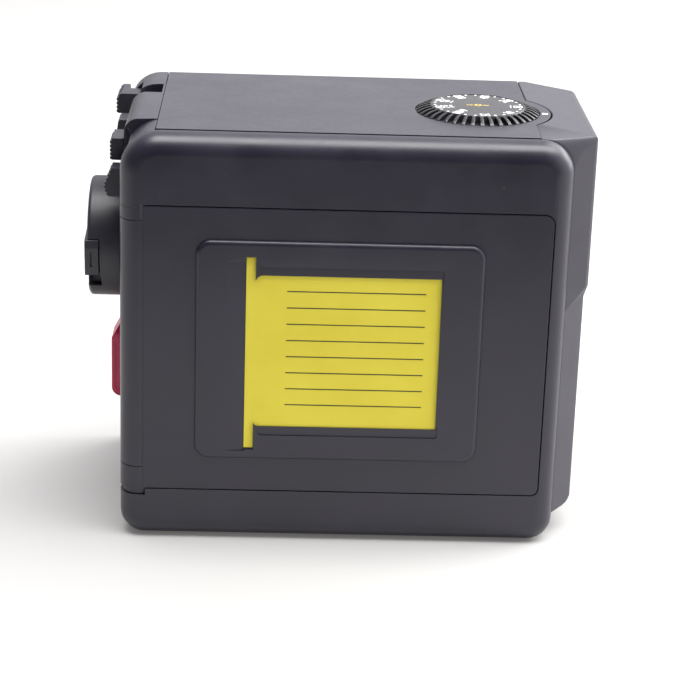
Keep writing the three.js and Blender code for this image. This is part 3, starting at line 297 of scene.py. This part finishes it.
LEAST_TURN, MOST_TURN = 0.45, 2.7  # radians between two edges that part sideways
ROUNDED_FROM = math.radians(24)  # the angle between two faces from which their edge counts as one
ROOM_USED = 0.4  # how much of the room beside an edge its rounding may take
LENGTH_USED = 0.5  # how much of the edge's own length
LEAST_SHARE = 0.6  # an edge with room for less than this share of the width stays sharp
WELD = 0.002 * MM
SLIVER = 0.03 * MM
FLAT = math.radians(0.5)


def room_beside(edge, corner):
    """The room beside an edge at one corner: the length of the shortest edge that parts sideways."""
    own = edge.other_vert(corner).co - corner.co
    lengths = [edge.calc_length() * 2]
    for other in corner.link_edges:
        away = other.other_vert(corner).co - corner.co
        if other is not edge and away.length > 0 and LEAST_TURN < own.angle(away, 0) < MOST_TURN:
            lengths.append(away.length)
    return min(lengths)


def mark_edges(shape, width, fill_hollows):
    """Marks the edges to round, each by as much of the width as it has room for. The rest stay sharp."""
    weight = shape.edges.layers.float.new("bevel_weight_edge")
    for edge in shape.edges:
        if edge.calc_face_angle(0) < ROUNDED_FROM:
            continue
        room = min(room_beside(edge, corner) for corner in edge.verts)
        share = min(1.0, ROOM_USED * room / width, LENGTH_USED * edge.calc_length() / width)
        if share < LEAST_SHARE or not (edge.is_convex or fill_hollows):
            edge.smooth = False
        else:
            edge[weight] = share


def clean_copy(node, width, fill_hollows):
    """The CAD node's mesh with its flat faces whole again, smooth shaded, its edges marked."""
    mesh = bpy.data.meshes.new(node + "_finish")
    shape = bmesh.new()
    shape.from_mesh(NODES[node].data)
    bmesh.ops.remove_doubles(shape, verts=shape.verts, dist=WELD)
    bmesh.ops.dissolve_degenerate(shape, dist=SLIVER, edges=shape.edges)
    bmesh.ops.dissolve_limit(shape, angle_limit=FLAT, verts=shape.verts, edges=shape.edges)
    bmesh.ops.recalc_face_normals(shape, faces=shape.faces)
    for face in shape.faces:
        face.smooth = True
    mark_edges(shape, width, fill_hollows)
    shape.to_mesh(mesh)
    shape.free()
    return mesh


def soften(piece, width):
    """Rounds a piece's marked edges by width and keeps its flat faces flat in shading."""
    bevel = piece.modifiers.new("edges", "BEVEL")
    bevel.width = width
    bevel.segments = 3 if width > WIDE_EDGE * MM else 2
    bevel.limit_method = "WEIGHT"
    bevel.use_clamp_overlap = False
    bevel.miter_outer = "MITER_ARC"
    shading = piece.modifiers.new("shading", "WEIGHTED_NORMAL")
    shading.keep_sharp = True


# How far the edges of each moulding are rounded, in mm. Other pieces get FINE_EDGE.
EDGES = {
    "rear_shell": 0.08, "body_casing": 0.16, "top_cover": 0.06, "right_housing": 0.32, "front_frame": 0.2,
    "back_plate": 0.15, "door_panel": 0.24, "door_leaf": 0.06, "memo_plate": 0.14, "film_chamber": 0.2,
    "rewind_knob": 0.14, "crank_arm": 0.14, "magazine_release_lever": 0.1, "latch_lock_lever": 0.06,
    "door_latch_lever": 0.06, "rewind_release_lever": 0.25, "lever_guard": 0.15, "contact_block": 0.12,
}
FINE_EDGE = 0.07
WIDE_EDGE = 0.1  # edges wider than this get one more step
BENDING = ("rewind_spring", "release_spring", "pressure_spring")
MADE_BELOW = ("film_speed_dial", "memo_card")  # these have functions of their own


def finished(node):
    """A CAD node's piece with softened edges. The housing's shoulder is rounded in the hollow too."""
    width = EDGES.get(node, FINE_EDGE) * MM
    slot = SLOT_OF[node]
    housing = node == "right_housing"
    mesh = clean_copy(node, width, fill_hollows=housing)
    material = MATERIALS["housing" if housing else slot]
    piece = add_piece(node + "_finish", mesh, BODY_OF[node], material, (node,))
    soften(piece, width)


def finish_nodes():
    """Finishes the CAD nodes. The springs keep their CAD meshes, whose length changes with a joint."""
    for node in NODES:
        if node in BENDING:
            NODES[node].data.materials.clear()
            NODES[node].data.materials.append(MATERIALS[SLOT_OF[node]])
        elif node not in MADE_BELOW:
            finished(node)


def mesh_from(name, points, faces):
    """A mesh from its points and its faces."""
    mesh = bpy.data.meshes.new(name)
    mesh.from_pydata(points, [], faces)
    mesh.update()
    return mesh


def gathered(name, parts):
    """One mesh from (mesh, transform) pairs."""
    shape = bmesh.new()
    for part, move in parts:
        moved = part.copy()
        moved.transform(move)
        shape.from_mesh(moved)
        bpy.data.meshes.remove(moved)
    mesh = bpy.data.meshes.new(name)
    shape.to_mesh(mesh)
    shape.free()
    return mesh


FIGURE_THICKNESS = 0.004
FIGURE_BOLDNESS = 0.014


def numeral(text):
    """Figures in the plain built-in font, one unit tall, ending at x = 0, with the base line at y = -0.5."""
    curve = bpy.data.curves.new("figure", "FONT")
    curve.body = text
    curve.extrude = FIGURE_THICKNESS
    curve.offset = FIGURE_BOLDNESS
    curve.resolution_u = 4
    writing = bpy.data.objects.new("figure", curve)
    bpy.context.scene.collection.objects.link(writing)
    bpy.context.view_layer.update()
    shown = writing.evaluated_get(bpy.context.evaluated_depsgraph_get())
    mesh = bpy.data.meshes.new_from_object(shown)
    bpy.data.objects.remove(writing)
    right = max(v.co.x for v in mesh.vertices)
    low = min(v.co.y for v in mesh.vertices)
    high = max(v.co.y for v in mesh.vertices)
    size = 1 / (high - low)
    centred = Matrix.Translation((-right, -(low + high) / 2, 0))
    mesh.transform(Matrix.Diagonal((size, size, size, 1)) @ centred)
    return mesh


def spot(radius, sides=20):
    """A small printed disc lying in the x-y plane."""
    ring = [(radius * math.cos(2 * math.pi * i / sides), radius * math.sin(2 * math.pi * i / sides), 0)
            for i in range(sides)]
    return mesh_from("spot", ring, [tuple(range(sides))])


def bar(x0, x1, y0, y1):
    """A printed bar lying in the x-y plane."""
    return mesh_from("bar", [(x0, y0, 0), (x1, y0, 0), (x1, y1, 0), (x0, y1, 0)], [(0, 1, 2, 3)])


def printed_ring(inner, outer, sides=32):
    """A printed ring lying in the x-y plane."""
    points = []
    for i in range(sides):
        angle = 2 * math.pi * i / sides
        points += [(inner * math.cos(angle), inner * math.sin(angle), 0),
                   (outer * math.cos(angle), outer * math.sin(angle), 0)]
    faces = [(2 * i, 2 * i + 1, (2 * i + 3) % (2 * sides), (2 * i + 2) % (2 * sides)) for i in range(sides)]
    return mesh_from("ring", points, faces)


# ---------------------------------------------------------------- film-speed dial

DIAL_LOW, DIAL_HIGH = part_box("film_speed_dial")
DIAL_MIDDLE = (DIAL_LOW + DIAL_HIGH) / 2
DIAL_BASE = (DIAL_HIGH.x - DIAL_LOW.x) / 2
DIAL_HEIGHT = DIAL_HIGH.z - DIAL_LOW.z
DIAL_RIM = 9.6 * MM
DIAL_RIDGES = 40
DIAL_FACE = 0.1 * MM  # how deep the printed face lies below the rim
FACE_RADII = (2.0 * MM, 8.6 * MM, 9.36 * MM)
RIM_BEAD = ((9.4 * MM, 0.02 * MM), (9.5 * MM, 0.0), (9.66 * MM, 0.03 * MM))  # (radius, depth below the top)
SKIRT_START = 9.76 * MM
RIDGE_RADII = (9.98 * MM, 10.6 * MM, 11.2 * MM, 11.8 * MM, DIAL_BASE - 0.12 * MM)
FOOT_ROUND = {"gap": 0.03 * MM, "ridge": 0.08 * MM}
SKIRT_TOP = DIAL_HEIGHT - 0.12 * MM
SKIRT_FOOT = 0.35 * MM
SKIRT_BULGE = 0.22 * MM
GAP_FLOOR = 0.12 * MM
GAP_FROM = 0.2  # of a pitch, from a ridge's middle
RIDGE_ROUND = 1.6 * MM  # the fall from a ridge's middle, times the square of the share of a pitch
# Where the sections of one pitch are taken, as shares of it.
RIDGE_STEPS = (0.0, 0.08, 0.15, 0.19, 0.23, 0.35, 0.5, 0.65, 0.77, 0.81, 0.85, 0.92)
INK = 0.02 * MM  # how far print stands off its face
INDEX_ANGLE = math.radians(-4.5)
INDEX_REACH = (13.2 * MM, 14.4 * MM)
INDEX_HALF = 0.62 * MM
SPEEDS = ("100", "200", "400", "800", "1600", "3200", "6400", "25", "50")
SPEED_SIZE = (1.45 * MM, 2.0 * MM, 0.5 * MM)  # of one unit of a figure: wide, tall and thick
SPEED_REACH = 9.15 * MM
SPEED_DOT = 0.3 * MM
SPEED_DOT_REACH = 8.85 * MM
CENTRE_RING = (0.4 * MM, 0.75 * MM)
CENTRE_BAR = (1.0 * MM, 2.3 * MM)
CENTRE_BAR_HALF = 0.2 * MM


def skirt(radius):
    """The height of the dial's skirt along the top of a ridge: a slope that bulges a little."""
    out = (radius - DIAL_RIM) / (DIAL_BASE - DIAL_RIM)
    return SKIRT_TOP - out * (SKIRT_TOP - SKIRT_FOOT) + SKIRT_BULGE * math.sin(math.pi * out)


def dial_section(share):
    """The dial's section at one place along a ridge and gap pitch: (radius, height over its base)."""
    from_ridge = 0.5 - abs(share - 0.5)
    in_gap = from_ridge > GAP_FROM
    fall = RIDGE_ROUND * from_ridge ** 2
    face = DIAL_HEIGHT - DIAL_FACE
    rows = [(radius, face) for radius in FACE_RADII]
    rows += [(radius, DIAL_HEIGHT - depth) for radius, depth in RIM_BEAD]
    rows.append((SKIRT_START, skirt(SKIRT_START)))
    for radius in RIDGE_RADII:
        rows.append((radius, GAP_FLOOR if in_gap else skirt(radius) - fall))
    foot = GAP_FLOOR - FOOT_ROUND["gap"] if in_gap else skirt(DIAL_BASE) - fall - FOOT_ROUND["ridge"]
    rows.append((DIAL_BASE, foot))
    rows.append((DIAL_BASE, 0.0))
    return rows


def dial():
    """The dial with its sunk face and the ridges and gaps of its skirt."""
    columns = []
    for ridge in range(DIAL_RIDGES):
        for share in RIDGE_STEPS:
            angle = 2 * math.pi * (ridge + share) / DIAL_RIDGES
            columns.append((angle, dial_section(share)))
    rows = len(columns[0][1])
    points = [(r * math.cos(angle), r * math.sin(angle), z) for angle, section in columns for r, z in section]
    points += [(0, 0, DIAL_HEIGHT - DIAL_FACE), (0, 0, 0)]
    top, under = len(points) - 2, len(points) - 1
    faces = []
    for i in range(len(columns)):
        here, there = i * rows, (i + 1) % len(columns) * rows
        faces.append((top, here, there))
        faces.append((under, there + rows - 1, here + rows - 1))
        for j in range(rows - 1):
            faces.append((here + j, here + j + 1, there + j + 1, there + j))
    mesh = mesh_from("film_speed_dial_finish", points, faces)
    for face in mesh.polygons:
        face.use_smooth = True
    mesh.set_sharp_from_angle(angle=math.radians(35))
    mesh.transform(Matrix.Translation((DIAL_MIDDLE.x, DIAL_MIDDLE.y, DIAL_LOW.z)))
    add_piece("film_speed_dial_finish", mesh, "film_speed", MATERIALS["dial"],
              ("film_speed_dial",))


def speed_print(face):
    """Film speeds round the dial's edge, with two dots between each pair."""
    step = 2 * math.pi / len(SPEEDS)
    size = Matrix.Diagonal((*SPEED_SIZE, 1))
    figures, dots = [], []
    for i, speed in enumerate(SPEEDS):
        turn = face @ Matrix.Rotation(INDEX_ANGLE + i * step, 4, "Z")
        figures.append((numeral(speed), turn @ Matrix.Translation((SPEED_REACH, 0, 0)) @ size))
        for third in (1, 2):
            mark = face @ Matrix.Rotation(INDEX_ANGLE + (i + third / 3) * step, 4, "Z")
            dots.append((spot(SPEED_DOT), mark @ Matrix.Translation((SPEED_DOT_REACH, 0, 0))))
    add_piece("dial_numbers", gathered("dial_numbers", figures + dots), "film_speed", PRINT_WHITE)


def centre_print(face):
    """A plain mark in the middle of the dial: a ring between two bars."""
    middle = [(printed_ring(*CENTRE_RING), face)]
    for side in (-1, 1):
        near, far = sorted(side * reach for reach in CENTRE_BAR)
        middle.append((bar(near, far, -CENTRE_BAR_HALF, CENTRE_BAR_HALF), face))
    add_piece("dial_centre_mark", gathered("dial_centre_mark", middle), "film_speed", PRINT_YELLOW)


def index_print():
    """The index mark beside the dial, on the top cover."""
    top = Matrix.Translation((DIAL_MIDDLE.x, DIAL_MIDDLE.y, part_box("top_cover")[1].z + INK))
    index = bar(*INDEX_REACH, -INDEX_HALF, INDEX_HALF)
    index.transform(top @ Matrix.Rotation(INDEX_ANGLE, 4, "Z"))
    add_piece("dial_index", index, "case", PRINT_WHITE)


def dial_print():
    """Every mark on the dial and beside it."""
    face = Matrix.Translation((DIAL_MIDDLE.x, DIAL_MIDDLE.y, DIAL_HIGH.z - DIAL_FACE + INK))
    speed_print(face)
    centre_print(face)
    index_print()


# ---------------------------------------------------------------- memo card

CARD_LOW, CARD_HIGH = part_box("memo_card")
CARD_SIZE = CARD_HIGH - CARD_LOW
CARD_CELLS = 24
RIPPLE = 0.03 * MM
RIPPLE_WAVES = 1.3  # half waves up the card
RULES = 8
RULE_HALF = 0.11 * MM
RULE_LEFT, RULE_RIGHT, RULE_TOP, RULE_STEP = 0.2, 0.88, 0.83, 0.085  # as shares of the card


def memo_card():
    """The card with its lightly rippled face, so that it doesn't lie dead flat in its holder."""
    points = []
    for front in (True, False):
        for j in range(CARD_CELLS + 1):
            for i in range(CARD_CELLS + 1):
                u, v = i / CARD_CELLS, j / CARD_CELLS
                wave = math.cos(2 * math.pi * u) * math.cos(math.pi * v * RIPPLE_WAVES)
                y = CARD_LOW.y + RIPPLE * (1 - wave) / 2 if front else CARD_HIGH.y
                points.append((CARD_LOW.x + u * CARD_SIZE.x, y, CARD_LOW.z + v * CARD_SIZE.z))
    row, sheet = CARD_CELLS + 1, (CARD_CELLS + 1) ** 2
    faces = []
    for j in range(CARD_CELLS):
        for i in range(CARD_CELLS):
            a = j * row + i
            faces.append((a, a + 1, a + row + 1, a + row))
            faces.append((sheet + a, sheet + a + row, sheet + a + row + 1, sheet + a + 1))
    forward, backward = range(CARD_CELLS), range(CARD_CELLS, 0, -1)
    rim = [i for i in forward] + [j * row + CARD_CELLS for j in forward]
    rim += [CARD_CELLS * row + i for i in backward] + [j * row for j in backward]
    for here, there in zip(rim, rim[1:] + rim[:1]):
        faces.append((there, here, sheet + here, sheet + there))
    mesh = mesh_from("memo_card_finish", points, faces)
    for face in mesh.polygons:
        face.use_smooth = True
    mesh.set_sharp_from_angle(angle=math.radians(40))
    add_piece("memo_card_finish", mesh, "door", MATERIALS["card"], ("memo_card",))


def card_lines():
    """Plain ruled lines to write on."""
    left = CARD_LOW.x + RULE_LEFT * CARD_SIZE.x
    right = CARD_LOW.x + RULE_RIGHT * CARD_SIZE.x
    lines = []
    stand = Matrix.Translation((0, CARD_LOW.y - 0.6 * INK, 0)) @ Matrix.Rotation(math.pi / 2, 4, "X")
    for i in range(RULES):
        z = CARD_LOW.z + CARD_SIZE.z * (RULE_TOP - RULE_STEP * i)
        lines.append((bar(left, right, z - RULE_HALF, z + RULE_HALF), stand))
    add_piece("card_lines", gathered("card_lines", lines), "door", PRINT_BROWN)


# ---------------------------------------------------------------- counter print and contact pads

FRAMES = ("1", "5", "10", "15", "20", "24", "30", "36")
FRAME_SIZE = (1.3 * MM, 1.6 * MM, 0.5 * MM)
FRAME_REACH = 6.6 * MM
FRAME_DOT = 0.25 * MM
FRAME_DOT_REACH = 6.0 * MM
PADS = 4
PAD_PITCH = 5 * MM
PAD_HALF = 1.45 * MM
PAD_HIGH = 3.0 * MM
PAD_DROP = 1.6 * MM  # from the block's middle down to the foot of the pads
PAD_CHAMFER = 0.35 * MM
PAD_DEPTHS = (0.6 * MM, 0.32 * MM, 0.18 * MM)  # a pad's back, shoulder and face, sunk in the block


def counter_print():
    """Frame numbers on the disc behind the side window."""
    low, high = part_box("counter_disc")
    middle = (low + high) / 2
    face = Matrix.Translation((high.x + 0.5 * INK, middle.y, middle.z))
    face = face @ Matrix.Rotation(math.pi / 2, 4, "Z") @ Matrix.Rotation(math.pi / 2, 4, "X")
    step = 2 * math.pi / len(FRAMES)
    size = Matrix.Diagonal((*FRAME_SIZE, 1))
    marks = []
    for i, frame_number in enumerate(FRAMES):
        turn = face @ Matrix.Rotation(-i * step, 4, "Z")
        marks.append((numeral(frame_number), turn @ Matrix.Translation((FRAME_REACH, 0, 0)) @ size))
        half = face @ Matrix.Rotation(-(i + 0.5) * step, 4, "Z")
        marks.append((spot(FRAME_DOT), half @ Matrix.Translation((FRAME_DOT_REACH, 0, 0))))
    add_piece("counter_numbers", gathered("counter_numbers", marks), "counter", PRINT_WHITE)


def contact_pads():
    """Plated pads with chamfered faces, in the pockets of the contact block."""
    low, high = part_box("contact_block")
    middle = (low + high) / 2
    points, faces = [], []
    foot = middle.z - PAD_DROP
    for i in range(PADS):
        x = middle.x + (i - (PADS - 1) / 2) * PAD_PITCH
        start = len(points)
        for inset, depth in zip((0.0, 0.0, PAD_CHAMFER), PAD_DEPTHS):
            for u, v in ((-1, 0), (1, 0), (1, 1), (-1, 1)):
                z = foot + v * PAD_HIGH + (1 - 2 * v) * inset
                points.append((x + u * (PAD_HALF - inset), high.y - depth, z))
        faces.append(tuple(start + k for k in (0, 1, 2, 3)))
        faces.append(tuple(start + k for k in (11, 10, 9, 8)))
        for ring in (0, 4):
            for k in range(4):
                n = (k + 1) % 4
                faces.append((start + ring + k, start + ring + 4 + k, start + ring + 4 + n, start + ring + n))
    add_piece("contact_pads", mesh_from("contact_pads", points, faces), "case", MATERIALS["brass"])


finish_nodes()
dial()
dial_print()
memo_card()
card_lines()
counter_print()
contact_pads()


# ---------------------------------------------------------------- camera, floor and lights

# Fitted to the straight edges of the door, the memo holder, the top cover and the housing.
CAMERA_PLACE = Vector((-0.011875, -0.441075, 0.1904))
CAMERA_YAW = math.radians(2.04)
CAMERA_PITCH = math.radians(19.73)
CAMERA_ROLL = math.radians(1.97)
CAMERA_LENS = 113.14


def camera():
    """The viewer's place: a long lens, a little above and left of the back door."""
    forward = Vector((math.sin(CAMERA_YAW) * math.cos(CAMERA_PITCH),
                      math.cos(CAMERA_YAW) * math.cos(CAMERA_PITCH),
                      -math.sin(CAMERA_PITCH)))
    level = Vector((math.cos(CAMERA_YAW), -math.sin(CAMERA_YAW), 0))
    upright = level.cross(forward)
    right = math.cos(CAMERA_ROLL) * level + math.sin(CAMERA_ROLL) * upright
    up = math.cos(CAMERA_ROLL) * upright - math.sin(CAMERA_ROLL) * level
    data = bpy.data.cameras.new("camera")
    data.sensor_width = 36
    data.lens = CAMERA_LENS
    data.clip_start = 0.01
    view = bpy.data.objects.new("camera", data)
    bpy.context.scene.collection.objects.link(view)
    turn = Matrix((right, up, -forward)).transposed().to_4x4()
    view.matrix_world = Matrix.Translation(CAMERA_PLACE) @ turn
    bpy.context.scene.camera = view


FLOOR = {"half": 1.6, "front": -0.23, "bend": 1.3, "radius": 0.3, "top": 0.31, "steps": 16}
PAPER_DARK = (0.44, 0.435, 0.43, 1)
PAPER_LIGHT = (0.46, 0.455, 0.45, 1)
PAPER_GLOW = (1.0, 0.97, 0.94, 1)


def floor():
    """A pale sheet that runs level under the object and curves up far behind it."""
    bend, radius = FLOOR["bend"], FLOOR["radius"]
    line = [(FLOOR["front"], 0.0), (bend, 0.0)]
    for i in range(1, FLOOR["steps"] + 1):
        angle = math.pi / 2 * i / FLOOR["steps"]
        line.append((bend + radius * math.sin(angle), radius - radius * math.cos(angle)))
    line.append((bend + radius, FLOOR["top"]))
    points = [(x, y, z) for y, z in line for x in (-FLOOR["half"], FLOOR["half"])]
    faces = [(2 * i, 2 * i + 1, 2 * i + 3, 2 * i + 2) for i in range(len(line) - 1)]
    mesh = mesh_from("floor", points, faces)
    for face in mesh.polygons:
        face.use_smooth = True
    sheet = bpy.data.objects.new("floor", mesh)
    bpy.context.scene.collection.objects.link(sheet)
    paint = Painter("white_paper")
    paint.colour(paint.blend(paint.noise(0.3, detail=2), PAPER_DARK, PAPER_LIGHT))
    paint.set(Roughness=0.8, Specular_IOR_Level=0.2)
    paint.set(Emission_Color=PAPER_GLOW, Emission_Strength=0.1)
    mesh.materials.append(paint.material)


def area_light(name, place, target, width, height, power, colour=(1, 1, 1)):
    """A softbox that faces its target. Power in watts."""
    data = bpy.data.lights.new(name, "AREA")
    data.shape = "RECTANGLE"
    data.size = width
    data.size_y = height
    data.energy = power
    data.color = colour
    lamp = bpy.data.objects.new(name, data)
    bpy.context.scene.collection.objects.link(lamp)
    lamp.location = place
    lamp.rotation_euler = (Vector(target) - Vector(place)).to_track_quat("-Z", "Y").to_euler()


BRIGHT_SIDE = (0.5, 0.85, 0.05)  # the direction that the studio is brightest in
# How bright the studio is, along that direction and from left to right.
ALONG_BRIGHT_SIDE = (("From Min", -0.75), ("From Max", 0.35), ("To Min", 0.07), ("To Max", 1.2))
LEFT_TO_RIGHT = (("From Min", -0.6), ("From Max", 0.6), ("To Min", 0.75), ("To Max", 1.35))
SKY = (0.98, 0.975, 1.0, 1)


def surroundings():
    """A white studio: bright behind the object and to its right, dim on the viewer's side."""
    world = bpy.data.worlds.new("studio")
    world.use_nodes = True
    nodes, links = world.node_tree.nodes, world.node_tree.links
    place = nodes.new("ShaderNodeTexCoord").outputs["Generated"]
    direction = nodes.new("ShaderNodeSeparateXYZ")
    links.new(place, direction.inputs["Vector"])
    towards = nodes.new("ShaderNodeVectorMath")
    towards.operation = "DOT_PRODUCT"
    towards.inputs[1].default_value = BRIGHT_SIDE
    links.new(place, towards.inputs[0])
    depth = nodes.new("ShaderNodeMapRange")
    depth.interpolation_type = "SMOOTHSTEP"
    for name, value in ALONG_BRIGHT_SIDE:
        depth.inputs[name].default_value = value
    links.new(towards.outputs["Value"], depth.inputs["Value"])
    side = nodes.new("ShaderNodeMapRange")
    for name, value in LEFT_TO_RIGHT:
        side.inputs[name].default_value = value
    links.new(direction.outputs["X"], side.inputs["Value"])
    strength = nodes.new("ShaderNodeMath")
    strength.operation = "MULTIPLY"
    links.new(depth.outputs["Result"], strength.inputs[0])
    links.new(side.outputs["Result"], strength.inputs[1])
    links.new(strength.outputs["Value"], nodes["Background"].inputs["Strength"])
    nodes["Background"].inputs["Color"].default_value = SKY
    bpy.context.scene.world = world


def studio():
    """The surroundings and three softboxes: from the right behind, low at the side, and above."""
    bpy.context.scene.view_settings.view_transform = "Standard"
    surroundings()
    area_light("key", (0.8, 0.42, 0.8), (0, 0, 0.03), 1.05, 1.05, 12, (1.0, 0.985, 0.96))
    area_light("side", (0.62, 0.34, 0.24), (0, 0, 0.04), 0.5, 0.4, 2.2)
    area_light("overhead", (0.15, -0.14, 1.05), (0.15, -0.14, 0), 1.1, 0.6, 17)


camera()
floor()
studio()
